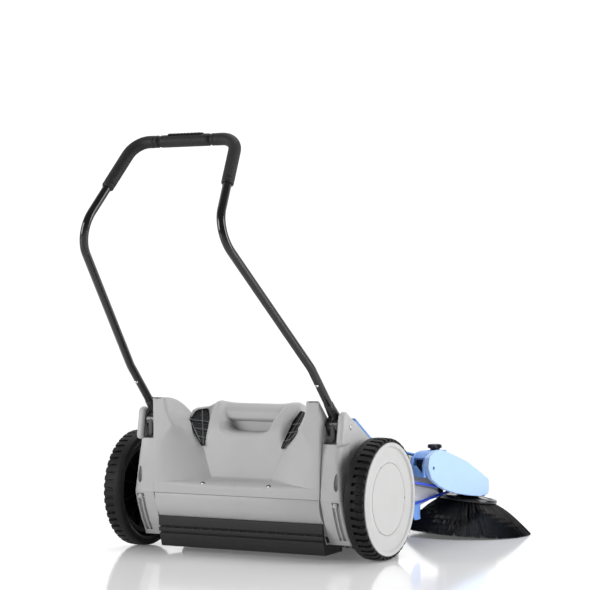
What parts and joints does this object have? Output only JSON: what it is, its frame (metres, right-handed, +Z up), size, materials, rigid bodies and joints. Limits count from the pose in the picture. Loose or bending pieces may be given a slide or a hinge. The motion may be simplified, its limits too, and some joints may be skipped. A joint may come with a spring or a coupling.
{
  "type": "walk-behind push sweeper",
  "caption": "Manual push sweeper with two large drive wheels, rear dirt hopper, main roller, side brush on a lifting arm, and a folding push handle.",
  "frame": {"origin": "middle of the footprint, on the ground under the wheels", "axes": "+X to the operator's right along the wheel axle, +Y forward in the direction of travel, +Z up"},
  "size_m": [0.8649, 1.372, 1.0708],
  "materials": {
    "grey_plastic": "satin moulded",
    "light_plastic": "satin moulded",
    "blue_plastic": "satin moulded",
    "pale_blue_plastic": "satin moulded",
    "dark_grey_plastic": "matte moulded",
    "black_plastic": "matte moulded",
    "black_rubber": "matte",
    "tyre_black": "matte",
    "belt_blue": "smooth",
    "black_paint": "gloss",
    "black_grip": "matte foam",
    "black_bristle": "fibres",
    "filter_cloth": "pleated",
    "zinc_steel": "zinc plated"
  },
  "bodies": {
    "chassis": {"side_frame_right": "grey_plastic", "side_frame_left": "grey_plastic", "hood": "blue_plastic", "front_frame": "blue_plastic", "roller_housing": "grey_plastic", "front_flap": "black_rubber", "front_flap_bar": "black_plastic", "side_skirts": "black_rubber", "roller_bearings": "black_plastic", "axle_stubs": "zinc_steel", "arm_bracket": "blue_plastic", "arm_pin": "zinc_steel", "frame_screws": "zinc_steel", "handle_pivot_pins": "zinc_steel", "roller_belt": "black_rubber", "brush_belt": "belt_blue"},
    "wheel_right": {"tyre_right": "tyre_black", "rim_right": "black_plastic", "wheel_disc_right": "light_plastic", "wheel_bush_right": "black_plastic", "brush_drive_pulley": "black_plastic"},
    "wheel_left": {"tyre_left": "tyre_black", "rim_left": "black_plastic", "wheel_disc_left": "light_plastic", "wheel_bush_left": "black_plastic", "roller_drive_pulley": "black_plastic"},
    "handle": {"handle_tube_right": "black_paint", "handle_tube_left": "black_paint", "handle_bow": "black_paint", "grip_left": "black_grip", "grip_right": "black_grip", "grip_middle": "black_grip", "grip_pad": "black_grip", "knuckle_right": "black_plastic", "knuckle_left": "black_plastic", "lever_pins": "zinc_steel"},
    "lever_right": {"lock_lever_right": "dark_grey_plastic"},
    "lever_left": {"lock_lever_left": "dark_grey_plastic"},
    "hopper": {"hopper_upper": "grey_plastic", "hopper_lower": "grey_plastic", "vent_right": "black_plastic", "vent_left": "black_plastic", "dust_filters": "filter_cloth", "hopper_screws": "zinc_steel", "rear_flap": "black_rubber"},
    "main_roller": {"roller_shaft": "zinc_steel", "roller_core": "black_plastic", "roller_bristles": "black_bristle", "roller_pulley": "black_plastic"},
    "brush_arm": {"arm_cover": "pale_blue_plastic", "arm_beam": "black_plastic"},
    "knob": {"star_knob": "black_plastic"},
    "side_brush": {"brush_plate": "black_plastic", "side_bristles": "black_bristle", "brush_spindle": "zinc_steel", "brush_pulley": "black_plastic"},
    "castor_swivel": {"castor_fork": "zinc_steel", "castor_pin": "zinc_steel"},
    "castor_roll": {"castor_wheel": "black_rubber"}
  },
  "joints": [
    {"name": "wheel_right_roll", "type": "hinge", "parent": "chassis", "child": "wheel_right", "pos_m": [0.30995, -0.16382, 0.155], "axis": [1, 0, 0], "continuous": true},
    {"name": "wheel_left_roll", "type": "hinge", "parent": "chassis", "child": "wheel_left", "pos_m": [-0.40205, -0.16382, 0.155], "axis": [1, 0, 0], "continuous": true},
    {"name": "roller_spin", "type": "hinge", "parent": "chassis", "child": "main_roller", "pos_m": [-0.04605, 0.00118, 0.119], "axis": [1, 0, 0], "continuous": true},
    {"name": "handle_fold", "type": "hinge", "parent": "chassis", "child": "handle", "pos_m": [-0.04605, -0.23582, 0.342], "axis": [1, 0, 0], "range_deg": [-90, 0]},
    {"name": "lever_right_release", "type": "hinge", "parent": "handle", "child": "lever_right", "pos_m": [0.22495, -0.25482, 0.341], "axis": [1, 0, 0], "range_deg": [-25, 0]},
    {"name": "lever_left_release", "type": "hinge", "parent": "handle", "child": "lever_left", "pos_m": [-0.31705, -0.25482, 0.341], "axis": [1, 0, 0], "range_deg": [-25, 0]},
    {"name": "hopper_pull", "type": "slide", "parent": "chassis", "child": "hopper", "axis": [0, -1, 0], "range_m": [0, 0.32]},
    {"name": "knob_turn", "type": "hinge", "parent": "chassis", "child": "knob", "pos_m": [0.27195, 0.24618, 0.257], "axis": [0, 0, 1], "range_deg": [0, 180]},
    {"name": "arm_lift", "type": "hinge", "parent": "chassis", "child": "brush_arm", "pos_m": [0.28395, 0.15818, 0.21], "axis": [1, 0, 0], "range_deg": [0, 6], "deforming": ["brush_belt"]},
    {"name": "side_brush_spin", "type": "hinge", "parent": "brush_arm", "child": "side_brush", "pos_m": [0.25295, 0.50618, 0.098], "axis": [0.0975, 0.0731, 0.9925], "continuous": true},
    {"name": "castor_swivel_turn", "type": "hinge", "parent": "chassis", "child": "castor_swivel", "pos_m": [-0.04605, 0.23618, 0.09], "axis": [0, 0, 1], "continuous": true},
    {"name": "castor_roll_spin", "type": "hinge", "parent": "castor_swivel", "child": "castor_roll", "pos_m": [-0.04605, 0.21418, 0.032], "axis": [1, 0, 0], "continuous": true}
  ],
  "couplings": [
    {"joint": "roller_spin", "follows": "wheel_left_roll", "ratio": 2.5},
    {"joint": "side_brush_spin", "follows": "wheel_right_roll", "ratio": -1.2826},
    {"joint": "knob_turn", "follows": "arm_lift", "ratio": 30}
  ]
}
